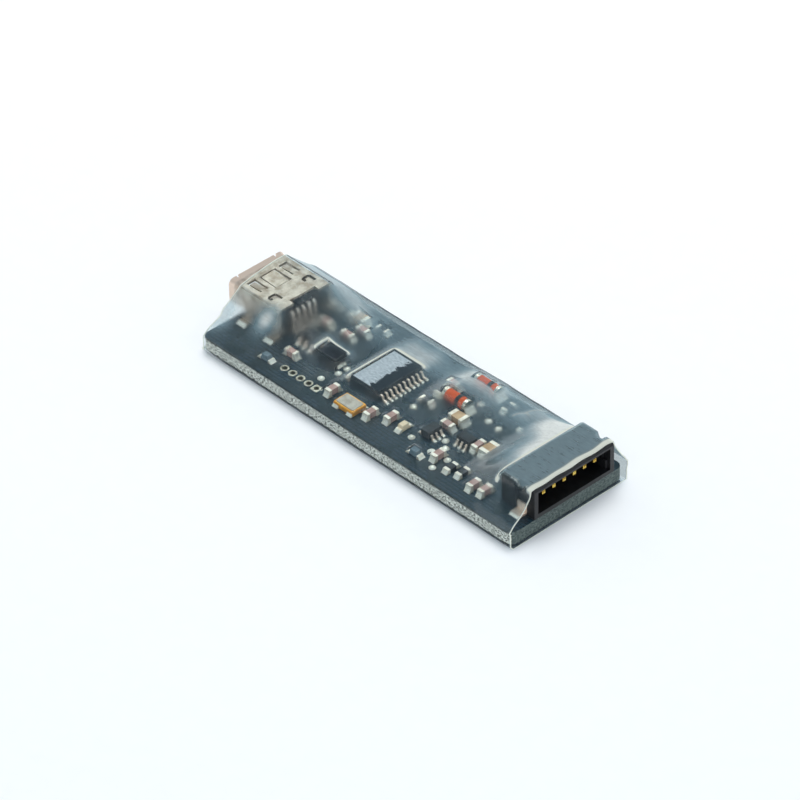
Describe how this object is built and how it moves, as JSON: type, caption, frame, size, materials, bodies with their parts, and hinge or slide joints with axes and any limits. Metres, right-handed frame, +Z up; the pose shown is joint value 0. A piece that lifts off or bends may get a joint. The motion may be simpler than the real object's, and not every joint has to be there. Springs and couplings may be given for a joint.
{
  "type": "usb microcontroller programmer",
  "caption": "Small circuit board in a clear heat-shrink sleeve, with a mini-B receptacle at one end and a black side-entry pin header at the other.",
  "frame": {"origin": "on the sleeve's flat underside, below the middle of the board", "axes": "+X from the USB end to the header end, +Y across the board, +Z up from the underside"},
  "size_m": [0.0496, 0.0173, 0.0061],
  "materials": {
    "board_laminate": "dark blue-grey solder mask over pale laminate edges",
    "tinned_copper": "tinned copper, satin",
    "solder": "bright solder",
    "nickel_steel": "warm nickel-plated sheet, satin",
    "black_nylon": "matt black moulded nylon",
    "gold_contact": "gold-plated contact",
    "gold_pin": "gold-plated pin",
    "tinned_lead": "matt tinned lead",
    "mould_compound": "dark epoxy moulding, scuffed on top",
    "bulk_case": "dark moulded case",
    "crystal_ceramic": "matt ceramic",
    "gold_ring": "gold-plated ring",
    "crystal_cover": "satin metal lid",
    "quartz": "clear quartz",
    "small_ceramic": "pink-brown ceramic",
    "large_ceramic": "tan ceramic",
    "resistor_ceramic": "black glaze on white ceramic",
    "chip_terminal": "tinned end cap",
    "diode_glass": "orange-red glass",
    "diode_cap": "tinned end cap",
    "diode_slug": "copper-sheathed slug",
    "silicon": "silicon die",
    "band_paint": "black band",
    "led_laminate": "pale laminate",
    "led_lens": "milky clear lens",
    "clear_film": "clear shrink film, slightly hazy"
  },
  "bodies": {
    "board_assembly": {"circuit_board": "board_laminate", "debug_pads": "tinned_copper", "surface_pads": "tinned_copper", "solder_joints": "solder", "test_point_solder": "solder", "usb_shell": "nickel_steel", "usb_insulator": "black_nylon", "usb_contacts": "gold_contact", "header_housing": "black_nylon", "header_pins": "gold_pin", "header_solder_tabs": "tinned_lead", "microcontroller_body": "mould_compound", "microcontroller_leads": "tinned_lead", "esd_array_body": "mould_compound", "esd_array_leads": "tinned_lead", "level_shifter_bodies": "mould_compound", "level_shifter_leads": "tinned_lead", "crystal_base": "crystal_ceramic", "crystal_seal_ring": "gold_ring", "crystal_lid": "crystal_cover", "crystal_blank": "quartz", "bulk_capacitor_body": "bulk_case", "bulk_capacitor_terminals": "chip_terminal", "small_capacitor_bodies": "small_ceramic", "small_capacitor_terminals": "chip_terminal", "large_capacitor_bodies": "large_ceramic", "large_capacitor_terminals": "chip_terminal", "resistor_bodies": "resistor_ceramic", "resistor_terminals": "chip_terminal", "diode_glass": "diode_glass", "diode_end_caps": "diode_cap", "diode_slugs": "diode_slug", "diode_chips": "silicon", "diode_cathode_bands": "band_paint", "led_bases": "led_laminate", "led_terminals": "chip_terminal", "led_chips": "silicon", "led_lenses": "led_lens", "heat_shrink_sleeve": "clear_film"},
    "ground_tongue": {"usb_ground_tongue": "nickel_steel"},
    "latch_spring_near": {"usb_latch_spring_near": "nickel_steel"},
    "latch_spring_far": {"usb_latch_spring_far": "nickel_steel"}
  },
  "joints": [
    {"name": "ground_tongue_flex", "type": "hinge", "parent": "board_assembly", "child": "ground_tongue", "pos_m": [-0.02336, 0.00094, 0.0057], "axis": [0, -1, 0], "range_deg": [0, 4]},
    {"name": "latch_near_flex", "type": "hinge", "parent": "board_assembly", "child": "latch_spring_near", "pos_m": [-0.02144, -0.00138, 0.0057], "axis": [0, 1, 0], "range_deg": [0, 4]},
    {"name": "latch_far_flex", "type": "hinge", "parent": "board_assembly", "child": "latch_spring_far", "pos_m": [-0.02144, 0.00328, 0.0057], "axis": [0, 1, 0], "range_deg": [0, 4]}
  ]
}
